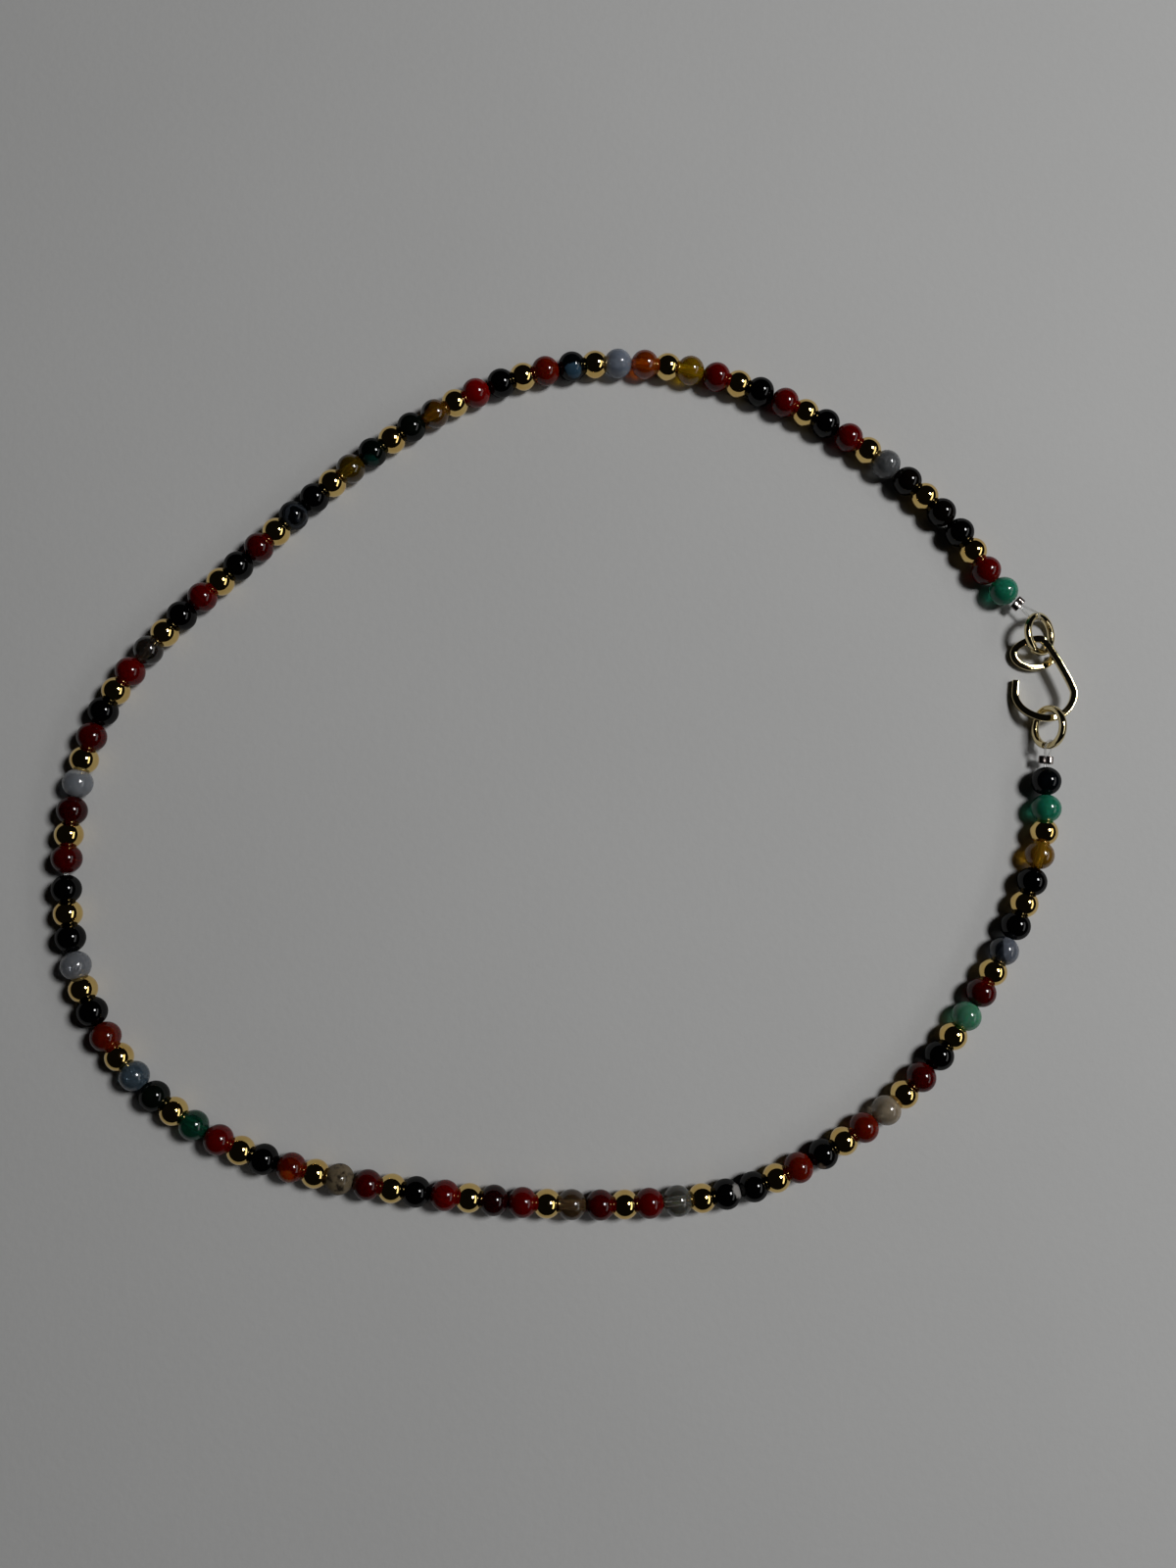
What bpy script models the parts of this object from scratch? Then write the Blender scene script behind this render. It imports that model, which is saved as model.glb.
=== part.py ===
# A 16 inch beaded necklace, hooked shut and lying flat as one loose loop.
# Two stones and one gold bead repeat along a clear thread. At each end the thread passes through
# a squeezed crimp and round a jump ring. A bent wire hook has one ring in its eye and the other
# in its bend. The necklace lies on the plane z = 0, with +Z up and the clasp at +X.
import math

import bpy
import bmesh
from mathutils import Matrix, Vector

# Driving dimensions, in metres, and angles in degrees
STONE_DIAMETER = 0.0041
STONE_LENGTH = 0.0040
STONE_END_DIAMETER = 0.0011
GOLD_DIAMETER = 0.0040
GOLD_HOLE_DIAMETER = 0.0021
THREAD_DIAMETER = 0.0003
STONES_PER_GOLD = 2
BEAD_SIDES = 10

CRIMP_WIDTH = 0.0021
CRIMP_LENGTH = 0.0010
CRIMP_HEIGHT = 0.0010
CRIMP_EDGE = 0.0002

RING_DIAMETER = 0.0064
RING_WIRE = 0.0010
UPPER_RING_TILT = 33.0
LOWER_RING_TILT = 66.0
UPPER_RING_PLAY = 0.0008
LOWER_RING_PLAY = 0.0004
RING_POINTS = 16

HOOK_WIRE = 0.0010
HOOK_BEND_RADIUS = 0.0039
HOOK_TIP_LENGTH = 0.0021
HOOK_EYE_WIDTH = 0.0059
HOOK_EYE_HEIGHT = 0.0039
HOOK_EYE_ABOVE_BEND = 0.0059
HOOK_EYE_INSET = 0.0010
HOOK_PLACE = (0.06906, 0.0116)

# Where the wire joins the eye, and where the eye's free end lies under the shank
HOOK_EYE_START = 80.0
HOOK_EYE_END = 353.0

# Each end of the thread: its place round the ring, its heading from there and its reach to the crimp
UPPER_GRAB = 112.0
UPPER_HEADING = 138.0
UPPER_REACH = 0.0030
LOWER_GRAB = -90.0
LOWER_HEADING = -96.0
LOWER_REACH = 0.0020

CLEARANCE = 0.0003

# A bead's sections, as shares of its own length from its middle and of its own radius
BEAD_PROFILE = [
    (-0.33, 0.78),
    (-0.17, 1.0),
    (0.17, 1.0),
    (0.33, 0.78),
]

# The string's route as it lies, from the upper crimp anticlockwise to the lower one
STRING_ROUTE = [
    (0.0624, 0.0275),
    (0.0555, 0.0375),
    (0.0435, 0.0480),
    (0.0305, 0.0555),
    (0.0165, 0.0600),
    (0.0020, 0.0605),
    (-0.0120, 0.0570),
    (-0.0255, 0.0495),
    (-0.0370, 0.0405),
    (-0.0475, 0.0305),
    (-0.0585, 0.0200),
    (-0.0670, 0.0085),
    (-0.0708, -0.0050),
    (-0.0712, -0.0185),
    (-0.0683, -0.0315),
    (-0.0605, -0.0435),
    (-0.0480, -0.0523),
    (-0.0340, -0.0568),
    (-0.0195, -0.0592),
    (-0.0045, -0.0606),
    (0.0105, -0.0607),
    (0.0250, -0.0587),
    (0.0380, -0.0525),
    (0.0485, -0.0445),
    (0.0565, -0.0345),
    (0.0635, -0.0225),
    (0.0681, -0.0095),
]
ROUTE_STEPS = 24


def clearObjects():
    for item in list(bpy.data.objects):
        bpy.data.objects.remove(item, do_unlink=True)


def makeMaterial(name, colour, roughness, metallic):
    material = bpy.data.materials.new(name)
    material.use_nodes = True
    shader = material.node_tree.nodes["Principled BSDF"]
    shader.inputs["Base Color"].default_value = (*colour, 1.0)
    shader.inputs["Roughness"].default_value = roughness
    shader.inputs["Metallic"].default_value = metallic
    return material


# A round section swept along the points with its own radius at each, upright if one of its
# flat sides lies down
def addCurve(name, points, radii, resolution, material, closed=False, upright=False):
    curve = bpy.data.curves.new(name, "CURVE")
    curve.dimensions = "3D"
    curve.twist_mode = "Z_UP" if upright else "MINIMUM"
    curve.bevel_depth = 1.0
    curve.bevel_resolution = resolution
    curve.use_fill_caps = not closed
    spline = curve.splines.new("POLY")
    spline.points.add(len(points) - 1)
    for target, place, radius in zip(spline.points, points, radii):
        target.co = (*place, 1.0)
        target.radius = radius
    spline.use_cyclic_u = closed
    spline.use_smooth = True
    curve.materials.append(material)
    item = bpy.data.objects.new(name, curve)
    bpy.context.collection.objects.link(item)
    return item


# A wire with a six-sided section
def addWire(name, points, diameter, material, closed=False):
    return addCurve(name, points, [diameter / 2] * len(points), 1, material, closed)


# A curve through b and c, between its neighbours a and d
def catmullRom(a, b, c, d, share):
    return 0.5 * (
        2 * b
        + (c - a) * share
        + (2 * a - 5 * b + 4 * c - d) * share**2
        + (3 * b - a - 3 * c + d) * share**3
    )


# A curve that leaves the first point towards the second and reaches the last from the third
def bezier(a, b, c, d, share):
    rest = 1 - share
    return rest**3 * a + 3 * rest**2 * share * b + 3 * rest * share**2 * c + share**3 * d


# A share from 0 to 1 that starts and ends gently
def ease(share):
    share = min(max(share, 0.0), 1.0)
    return share * share * (3 - 2 * share)


def polar(angle, across, up=None):
    turn = math.radians(angle)
    return Vector((math.cos(turn) * across, math.sin(turn) * (across if up is None else up)))


# A smooth path through the points, measured by its length
class Route:
    def __init__(self, points):
        padded = [2 * points[0] - points[1], *points, 2 * points[-1] - points[-2]]
        self.places = [points[0]]
        for index in range(len(points) - 1):
            corners = padded[index:index + 4]
            for step in range(1, ROUTE_STEPS + 1):
                self.places.append(catmullRom(*corners, step / ROUTE_STEPS))
        self.distances = [0.0]
        for start, end in zip(self.places, self.places[1:]):
            self.distances.append(self.distances[-1] + (end - start).length)
        self.length = self.distances[-1]

    def at(self, distance):
        for index, reached in enumerate(self.distances[1:]):
            if reached >= distance:
                start = self.distances[index]
                share = (distance - start) / (reached - start)
                return self.places[index].lerp(self.places[index + 1], share)
        return self.places[-1]


# Jump rings, which lean on one side
def ringRadius():
    return (RING_DIAMETER - RING_WIRE) / 2


def ringHeight(tilt):
    return RING_WIRE / 2 + ringRadius() * math.sin(math.radians(tilt))


# How far a ring's centre lies from the wire that runs through it
def ringOffset(play):
    return ringRadius() - (RING_WIRE + HOOK_WIRE) / 2 - play


# A point of a ring's wire, whose right side is up if the tilt is above 0 and its left if below
def onRing(centre, angle, tilt):
    flat = polar(angle, ringRadius())
    lean = math.radians(tilt)
    return centre + Vector((flat.x * math.cos(lean), flat.y, flat.x * math.sin(lean)))


def addRing(name, centre, tilt, material):
    angles = [360 * index / RING_POINTS for index in range(RING_POINTS)]
    points = [onRing(centre, angle, tilt) for angle in angles]
    return addWire(name, points, RING_WIRE, material, closed=True)


# Hook, which rests on its tip and its eye, and rides over the low side of each ring
def onHookEye(angle):
    centre = Vector(HOOK_PLACE) + Vector((-HOOK_EYE_INSET, HOOK_EYE_ABOVE_BEND))
    return centre + polar(angle, HOOK_EYE_WIDTH / 2, HOOK_EYE_HEIGHT / 2)


def onHookBend(angle):
    return Vector(HOOK_PLACE) + polar(angle, HOOK_BEND_RADIUS)


# The hook's centre line, from its tip round the bend, up the shank and round the eye
def hookPoints():
    low = HOOK_WIRE / 2
    bendHeight = ringHeight(LOWER_RING_TILT)
    eyeHeight = ringHeight(UPPER_RING_TILT) + 2 * CLEARANCE
    tip = onHookBend(180) + polar(84, HOOK_TIP_LENGTH)
    points = [(*tip, low)]
    for step in range(13):
        rise = ease(step / 6)
        points.append((*onHookBend(180 + 15 * step), low + (bendHeight - low) * rise))
    start = onHookBend(0)
    end = onHookEye(HOOK_EYE_START)
    reach = (end - start).length
    corners = (start, start + polar(101, 0.17 * reach), end + polar(-18, 0.105 * reach), end)
    for step in range(1, 9):
        height = bendHeight + (eyeHeight - bendHeight) * ease(step / 9)
        points.append((*bezier(*corners, step / 9), height))
    arc = HOOK_EYE_END - HOOK_EYE_START
    for step in range(17):
        fall = ease(step / 5)
        place = onHookEye(HOOK_EYE_START + arc * step / 16)
        points.append((*place, eyeHeight + (low - eyeHeight) * fall))
    return [Vector(place) for place in points]


# Thread loops and crimps
def crimpPlace(grab, heading, reach):
    flat = Vector((grab.x, grab.y)) + polar(heading, reach)
    return Vector((*flat, STONE_DIAMETER / 2))


# A loop of thread round a ring's wire at grab, with both legs ending at the crimp's face
def addThreadLoop(name, grab, along, crimp, material):
    reach = crimp - grab
    out = reach.normalized()
    side = along.cross(out).normalized()
    legEnd = reach.length - CRIMP_LENGTH / 2 - 1.3 * CLEARANCE
    legSide = THREAD_DIAMETER
    slant = math.asin(along.normalized().dot(out))
    bend = ((RING_WIRE + THREAD_DIAMETER) / 2 + CLEARANCE) / math.cos(slant)
    first = math.atan2(legSide, legEnd) + math.acos(bend / math.hypot(legEnd, legSide))
    first = math.degrees(first)
    flat = [Vector((legEnd, legSide))]
    flat += [polar(first + (360 - 2 * first) * step / 12, bend) for step in range(13)]
    flat.append(Vector((legEnd, -legSide)))
    points = [grab + out * place.x + side * place.y for place in flat]
    return addWire(name, points, THREAD_DIAMETER, material)


# A short tube squeezed flat, with its wide way level
def addCrimp(name, place, heading, material):
    model = bmesh.new()
    bmesh.ops.create_cone(
        model, cap_ends=True, segments=12, radius1=0.5, radius2=0.5, depth=1.0
    )
    bmesh.ops.scale(model, vec=(CRIMP_HEIGHT, CRIMP_WIDTH, CRIMP_LENGTH), verts=model.verts)
    rims = [edge for edge in model.edges if edge.verts[0].co.z * edge.verts[1].co.z > 0]
    bmesh.ops.bevel(
        model, geom=rims, offset=CRIMP_EDGE, segments=2, profile=0.5, affect="EDGES", material=-1
    )
    mesh = bpy.data.meshes.new(name)
    model.to_mesh(mesh)
    model.free()
    mesh.materials.append(material)
    mesh.shade_smooth()
    mesh.set_sharp_from_angle(angle=math.radians(40))
    item = bpy.data.objects.new(name, mesh)
    forward = polar(heading, 1.0).to_3d()
    axes = Matrix((Vector((0, 0, -1)), forward.cross(Vector((0, 0, -1))), forward)).transposed()
    item.location = place
    item.rotation_euler = axes.to_euler()
    bpy.context.collection.objects.link(item)
    return item


# Bead strings
def isGold(index):
    return index % (STONES_PER_GOLD + 1) == STONES_PER_GOLD


# How far a bead reaches from its middle to its neighbour, where stones nest in a gold bead's hole
def halfLength(index, neighbour):
    if isGold(index):
        return math.sqrt(GOLD_DIAMETER**2 - GOLD_HOLE_DIAMETER**2) / 2
    if isGold(neighbour):
        return STONE_LENGTH / 2 * math.sqrt(1 - (GOLD_HOLE_DIAMETER / STONE_DIAMETER) ** 2)
    return STONE_LENGTH / 2


# The radius where two beads meet
def meetRadius(index, neighbour):
    if isGold(index) or isGold(neighbour):
        return GOLD_HOLE_DIAMETER / 2
    return STONE_END_DIAMETER / 2


def beadLength(index):
    return halfLength(index, index - 1) + halfLength(index, index + 1)


# Beads in a row from a distance along the route, fused with a stretch of bare thread at an end
def addString(name, route, start, beads, material, threadStart=None, threadEnd=None):
    step = CLEARANCE / 20
    places = []
    radii = []
    if threadStart is not None:
        places += [route.at(threadStart), route.at(start - step)]
        radii += [THREAD_DIAMETER, THREAD_DIAMETER]
    reached = start
    for index in beads:
        first = route.at(reached)
        last = route.at(reached + beadLength(index))
        middle = halfLength(index, index - 1) / beadLength(index)
        diameter = GOLD_DIAMETER if isGold(index) else STONE_DIAMETER
        size = GOLD_DIAMETER if isGold(index) else STONE_LENGTH
        places.append(first)
        radii.append(meetRadius(index, index - 1))
        for along, across in BEAD_PROFILE:
            places.append(first.lerp(last, middle + along * size / beadLength(index)))
            radii.append(across * diameter / 2)
        reached += beadLength(index)
    places.append(route.at(reached))
    radii.append(meetRadius(beads[-1], beads[-1] + 1))
    if threadEnd is not None:
        places += [route.at(reached + step), route.at(threadEnd)]
        radii += [THREAD_DIAMETER, THREAD_DIAMETER]
    corner = 1 / math.cos(math.pi / BEAD_SIDES)
    radii = [radius * corner for radius in radii]
    return addCurve(name, places, radii, BEAD_SIDES // 2 - 2, material, upright=True)


# As many beads as the route has room for between its crimps, in two strings that meet half-way
def addStrings(upperCrimp, lowerCrimp, material):
    middle = [Vector((x, y, STONE_DIAMETER / 2)) for x, y in STRING_ROUTE]
    route = Route([upperCrimp, *middle, lowerCrimp])
    threadStart = CRIMP_LENGTH / 2 + CLEARANCE
    threadEnd = route.length - threadStart
    start = threadStart + THREAD_DIAMETER
    room = threadEnd - THREAD_DIAMETER - CLEARANCE - start
    count = 0
    filled = 0.0
    while filled + beadLength(count) <= room:
        filled += beadLength(count)
        count += 1
    period = STONES_PER_GOLD + 1
    half = period * (count // (2 * period)) + 1
    upper = list(range(half))
    lower = list(range(half, count))
    meet = start + sum(beadLength(index) for index in upper) + CLEARANCE
    addString("bead_string_upper", route, start, upper, material, threadStart=threadStart)
    addString("bead_string_lower", route, meet, lower, material, threadEnd=threadEnd)


def buildNecklace():
    clearObjects()
    stone = makeMaterial("stone", (0.12, 0.02, 0.01), 0.12, 0.0)
    gold = makeMaterial("gold", (0.83, 0.62, 0.32), 0.18, 1.0)
    silver = makeMaterial("crimp_metal", (0.62, 0.57, 0.53), 0.35, 1.0)
    clear = makeMaterial("clear_thread", (0.80, 0.80, 0.78), 0.15, 0.0)

    addWire("hook_clasp", hookPoints(), HOOK_WIRE, gold)
    eyeTop = onHookEye(HOOK_EYE_START)
    bendLow = onHookBend(270)
    upperRing = eyeTop.to_3d() + Vector((0, ringOffset(UPPER_RING_PLAY), ringHeight(UPPER_RING_TILT)))
    lowerRing = bendLow.to_3d() + Vector((0, -ringOffset(LOWER_RING_PLAY), ringHeight(LOWER_RING_TILT)))

    crimps = []
    for side, ring, tilt, grabAngle, heading, reach in (
        ("upper", upperRing, -UPPER_RING_TILT, UPPER_GRAB, UPPER_HEADING, UPPER_REACH),
        ("lower", lowerRing, LOWER_RING_TILT, LOWER_GRAB, LOWER_HEADING, LOWER_REACH),
    ):
        grab = onRing(ring, grabAngle, tilt)
        along = onRing(ring, grabAngle + 1, tilt) - grab
        crimp = crimpPlace(grab, heading, reach)
        addRing("jump_ring_" + side, ring, tilt, gold)
        addThreadLoop("thread_loop_" + side, grab, along, crimp, clear)
        addCrimp("crimp_" + side, crimp, heading, silver)
        crimps.append(crimp)
    addStrings(*crimps, stone)


buildNecklace()
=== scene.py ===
# A 16 inch necklace of polished agate and gold beads, hooked shut and lying as one loose loop
import math
import random

import bmesh
import bpy
from mathutils import Matrix, Vector


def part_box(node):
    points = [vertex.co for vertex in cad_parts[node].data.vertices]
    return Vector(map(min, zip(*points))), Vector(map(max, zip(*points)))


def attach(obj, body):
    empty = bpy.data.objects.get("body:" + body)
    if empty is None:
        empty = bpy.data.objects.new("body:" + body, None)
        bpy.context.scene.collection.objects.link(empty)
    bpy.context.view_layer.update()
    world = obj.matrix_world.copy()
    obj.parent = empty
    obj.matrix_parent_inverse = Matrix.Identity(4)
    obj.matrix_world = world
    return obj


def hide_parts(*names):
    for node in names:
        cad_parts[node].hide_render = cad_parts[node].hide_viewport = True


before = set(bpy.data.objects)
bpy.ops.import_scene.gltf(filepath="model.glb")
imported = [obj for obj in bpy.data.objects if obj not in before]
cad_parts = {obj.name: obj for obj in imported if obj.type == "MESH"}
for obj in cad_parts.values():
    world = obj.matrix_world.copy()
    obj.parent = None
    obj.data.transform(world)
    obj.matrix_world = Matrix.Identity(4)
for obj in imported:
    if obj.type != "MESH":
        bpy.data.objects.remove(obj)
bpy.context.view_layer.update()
print("frame loaded")


# Shader maths on node sockets, written as plain expressions
class Value:
    def __init__(self, finish, socket):
        self.finish = finish
        self.socket = socket

    def __add__(self, other):
        return self.finish.maths("ADD", self, other)

    def __sub__(self, other):
        return self.finish.maths("SUBTRACT", self, other)

    def __rsub__(self, other):
        return self.finish.maths("SUBTRACT", other, self)

    def __mul__(self, other):
        return self.finish.maths("MULTIPLY", self, other)

    __radd__ = __add__
    __rmul__ = __mul__

    def higher(self, other):
        return self.finish.maths("MAXIMUM", self, other)


# A material whose nodes are all made by one method
class Finish:
    def __init__(self, name):
        self.material = bpy.data.materials.new(name)
        self.material.use_nodes = True
        self.tree = self.material.node_tree
        self.tree.nodes.clear()

    # Settings come first, then each socket's value or link
    def node(self, kind, settings=None, sockets=None, output=0):
        made = self.tree.nodes.new(kind)
        for name, setting in (settings or {}).items():
            setattr(made, name, setting)
        for name, source in (sockets or {}).items():
            if isinstance(source, Value):
                self.tree.links.new(source.socket, made.inputs[name])
            else:
                made.inputs[name].default_value = source
        return Value(self, made.outputs[output]) if made.outputs else made

    def maths(self, operation, first, second):
        return self.node("ShaderNodeMath", {"operation": operation}, {0: first, 1: second})

    def attribute(self, name, output):
        return self.node("ShaderNodeAttribute", {"attribute_name": name}, output=output)

    def objectPlace(self):
        return self.node("ShaderNodeTexCoord", output="Object")

    def part(self, vector, axis):
        return self.node("ShaderNodeSeparateXYZ", sockets={0: vector}, output=axis)

    def stretch(self, vector, scale):
        return self.node("ShaderNodeMapping", sockets={"Vector": vector, "Scale": scale})

    def noise(self, vector, scale, detail=3.0, roughness=0.55):
        return self.node("ShaderNodeTexNoise", sockets={
            "Vector": vector, "Scale": scale, "Detail": detail, "Roughness": roughness})

    # A soft step from 0 to 1 between two values
    def step(self, value, low, high):
        return self.node("ShaderNodeMapRange", {"interpolation_type": "SMOOTHSTEP"}, {
            "Value": value, "From Min": low, "From Max": high})

    def blend(self, mask, first, second, how="MIX"):
        return self.node(
            "ShaderNodeMix", {"data_type": "RGBA", "blend_type": how},
            {0: mask, 6: first, 7: second}, output=2)

    def grey(self, value):
        return self.node("ShaderNodeCombineColor", sockets={0: value, 1: value, 2: value})

    def bump(self, height, distance, strength=1.0):
        return self.node("ShaderNodeBump", sockets={
            "Height": height, "Distance": distance, "Strength": strength})

    def surface(self, sockets):
        shader = self.node("ShaderNodeBsdfPrincipled", sockets=sockets)
        self.node("ShaderNodeOutputMaterial", sockets={"Surface": shader})
        return self.material


def colour(red, green, blue):
    return (red, green, blue, 1.0)


# What the stones of one piece have in common: clear is how far light passes through, glow how far it
# spreads within, and shine and coat how much the surface mirrors
stoneLooks = {
    "redStones": {
        "ior": 1.32, "clear": 0.35, "glow": 0.9, "glowColour": (1.0, 0.04, 0.02), "glowDepth": 0.0014,
        "shine": 0.03, "coat": 0.25, "roughness": 0.14, "grain": 0.04, "bump": 0.0000002},
    "blackStones": {
        "ior": 1.54, "clear": 0.0, "glow": 0.0, "glowColour": (1.0, 1.0, 1.0), "glowDepth": 0.0005,
        "shine": 0.0, "coat": 0.26, "roughness": 0.03, "grain": 0.2, "bump": 0.0000008},
    "clearStones": {
        "ior": 1.42, "clear": 0.85, "glow": 0.8, "glowColour": (1.0, 0.6, 0.3), "glowDepth": 0.0015,
        "shine": 0.03, "coat": 0.25, "roughness": 0.12, "grain": 0.04, "bump": 0.0000001},
    "greenStones": {
        "ior": 1.38, "clear": 0.60, "glow": 0.9, "glowColour": (0.2, 1.0, 0.6), "glowDepth": 0.0016,
        "shine": 0.03, "coat": 0.25, "roughness": 0.16, "grain": 0.04, "bump": 0.0000001},
    "milkyStones": {
        "ior": 1.38, "clear": 0.60, "glow": 1.0, "glowColour": (0.8, 0.9, 1.0), "glowDepth": 0.0018,
        "shine": 0.03, "coat": 0.33, "roughness": 0.20, "grain": 0.04, "bump": 0.0000001},
    "patternStones": {
        "ior": 1.54, "clear": 0.0, "glow": 0.25, "glowColour": (1.0, 0.8, 0.6), "glowDepth": 0.0004,
        "shine": 0.0, "coat": 0.26, "roughness": 0.04, "grain": 0.2, "bump": 0.0000008},
}

# Each kind of stone: its piece, main colour, second colour, and shares of bands, clouds and one patch
stoneKinds = {
    "red": ("redStones", (0.105, 0.0006, 0.0004), (0.07, 0.0003, 0.0002), (0.0, 0.3, 0.0)),
    "brightRed": ("redStones", (0.17, 0.001, 0.0006), (0.13, 0.0006, 0.0004), (0.0, 0.3, 0.0)),
    "linedRed": ("redStones", (0.13, 0.0008, 0.0005), (0.05, 0.0003, 0.0002), (0.5, 0.0, 0.0)),
    "darkRed": ("redStones", (0.06, 0.0004, 0.0003), (0.03, 0.0002, 0.0001), (0.0, 0.3, 0.0)),
    "deepRed": ("redStones", (0.03, 0.0004, 0.0003), (0.016, 0.0002, 0.0002), (0.0, 0.3, 0.0)),
    "maroon": ("redStones", (0.014, 0.0004, 0.0004), (0.008, 0.0002, 0.0002), (0.0, 0.3, 0.0)),
    "rust": ("redStones", (0.13, 0.006, 0.0004), (0.08, 0.0018, 0.0003), (0.0, 0.5, 0.0)),
    "orangeRed": ("redStones", (0.11, 0.007, 0.0006), (0.06, 0.0012, 0.0003), (0.0, 0.6, 0.0)),
    "bandedRed": ("redStones", (0.10, 0.0005, 0.0004), (0.045, 0.0003, 0.0002), (0.5, 0.0, 0.0)),
    "orangePatch": ("redStones", (0.08, 0.002, 0.0004), (0.26, 0.04, 0.003), (0.0, 0.2, 0.34)),
    "black": ("blackStones", (0.0004, 0.0004, 0.0005), (0.0008, 0.0007, 0.0007), (0.0, 0.4, 0.0)),
    "brownBlack": ("blackStones", (0.0012, 0.0008, 0.0006), (0.003, 0.0014, 0.001), (0.0, 0.6, 0.0)),
    "greenBlack": ("blackStones", (0.0012, 0.002, 0.0013), (0.002, 0.004, 0.0025), (0.0, 0.7, 0.0)),
    "blueBlack": ("blackStones", (0.0009, 0.0012, 0.0016), (0.0018, 0.003, 0.0045), (0.2, 0.6, 0.0)),
    "oliveYellow": ("clearStones", (0.50, 0.29, 0.004), (0.36, 0.19, 0.003), (0.0, 0.3, 0.0)),
    "orange": ("clearStones", (0.52, 0.09, 0.001), (0.36, 0.05, 0.001), (0.0, 0.4, 0.0)),
    "chippedAmber": ("clearStones", (0.24, 0.10, 0.003), (0.010, 0.004, 0.001), (0.0, 0.0, 0.50)),
    "oliveAmber": ("clearStones", (0.19, 0.115, 0.005), (0.10, 0.055, 0.003), (0.2, 0.5, 0.0)),
    "smokyBrown": ("clearStones", (0.19, 0.115, 0.055), (0.11, 0.065, 0.03), (0.3, 0.3, 0.0)),
    "honey": ("clearStones", (0.40, 0.21, 0.012), (0.26, 0.12, 0.006), (0.2, 0.3, 0.0)),
    "smoke": ("clearStones", (0.06, 0.048, 0.038), (0.035, 0.028, 0.022), (0.0, 0.5, 0.0)),
    "clearGrey": ("clearStones", (0.24, 0.235, 0.20), (0.14, 0.135, 0.12), (0.3, 0.2, 0.0)),
    "clearGreen": ("greenStones", (0.022, 0.25, 0.155), (0.012, 0.17, 0.10), (0.0, 0.3, 0.0)),
    "emerald": ("greenStones", (0.005, 0.07, 0.036), (0.002, 0.028, 0.018), (0.6, 0.0, 0.0)),
    "paleGreen": ("greenStones", (0.10, 0.32, 0.20), (0.07, 0.23, 0.14), (0.0, 0.3, 0.0)),
    "lavender": ("milkyStones", (0.25, 0.285, 0.35), (0.19, 0.22, 0.28), (0.0, 0.3, 0.0)),
    "lilac": ("milkyStones", (0.23, 0.24, 0.26), (0.17, 0.18, 0.20), (0.0, 0.3, 0.0)),
    "lilacBand": ("milkyStones", (0.26, 0.275, 0.30), (0.44, 0.46, 0.49), (0.0, 0.0, 0.38)),
    "blueGrey": ("milkyStones", (0.15, 0.155, 0.16), (0.09, 0.095, 0.10), (0.0, 0.4, 0.0)),
    "denim": ("milkyStones", (0.075, 0.11, 0.14), (0.05, 0.07, 0.09), (0.2, 0.3, 0.0)),
    "slate": ("milkyStones", (0.02, 0.025, 0.035), (0.17, 0.19, 0.23), (0.0, 0.0, 0.95)),
    "cream": ("milkyStones", (0.38, 0.31, 0.22), (0.27, 0.22, 0.16), (0.0, 0.4, 0.0)),
    "bluePatch": ("patternStones", (0.001, 0.0014, 0.0018), (0.022, 0.048, 0.075), (0.0, 0.0, 0.36)),
    "tealFoot": ("patternStones", (0.0006, 0.0015, 0.001), (0.002, 0.018, 0.014), (0.0, 0.0, 0.35)),
    "whiteVein": ("patternStones", (0.001, 0.0012, 0.0016), (0.20, 0.23, 0.28), (0.10, 0.0, 0.16)),
    "whiteBand": ("patternStones", (0.0006, 0.0006, 0.0006), (0.22, 0.21, 0.20), (0.0, 0.0, 0.32)),
    "brownEye": ("patternStones", (0.0009, 0.0009, 0.0008), (0.20, 0.13, 0.085), (0.0, 0.0, 0.24)),
    "moss": ("patternStones", (0.11, 0.085, 0.052), (0.008, 0.006, 0.005), (0.0, 0.9, 0.0)),
}

# The stones from the upper crimp anticlockwise, two before each gold bead. A stone with a mark
# that shows is given with the way that the mark faces.
stoneOrder = [
    "clearGreen", "red",
    "black", "brownBlack",
    "brownBlack", "blueGrey",
    "red", "black",
    "red", "black",
    "red", "oliveYellow",
    "orange", "lavender",
    ("bluePatch", (0.1, -0.6, 0.7)), "rust",
    "black", "brightRed",
    ("chippedAmber", (-0.85, 0.55, 0.35)), "greenBlack",
    ("tealFoot", (-0.1, -0.85, 0.5)), "oliveAmber",
    "black", ("whiteVein", (0.45, -0.25, 0.85)),
    "darkRed", "black",
    ("bandedRed", (0.7, 0.7, 0.2)), "black",
    "smoke", "red",
    "black", "darkRed",
    ("lilacBand", (0.0, 1.0, 0.3)), "deepRed",
    "darkRed", "black",
    "black", "lilac",
    "black", "orangeRed",
    "denim", "greenBlack",
    ("emerald", (0.6, 0.8, 0.1)), "red",
    "black", ("orangePatch", (-0.2, -0.5, 0.8)),
    "moss", "darkRed",
    "black", ("linedRed", (0.3, 1.0, 0.2)),
    "maroon", "red",
    "smokyBrown", "darkRed",
    "red", "clearGrey",
    ("whiteBand", (0.85, 0.35, 0.5)), "black",
    "rust", ("brownEye", (-0.3, -0.8, 0.55)),
    "rust", "cream",
    "darkRed", "black",
    "paleGreen", "darkRed",
    ("slate", (0.85, 0.1, 0.5)), "black",
    "black", "honey",
    "clearGreen", "blueBlack",
]

stoneSizes = {
    "diameter": 0.0041, "length": 0.0040, "endDiameter": 0.0011, "boreDiameter": 0.00095,
    "aroundSteps": 36, "arcSteps": 18, "boreChamfer": 0.00006,
    "smallest": 1.02, "largest": 1.05, "flattest": 0.985, "lift": 0.0001, "tilt": 2.0, "seed": 11,
}

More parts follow.
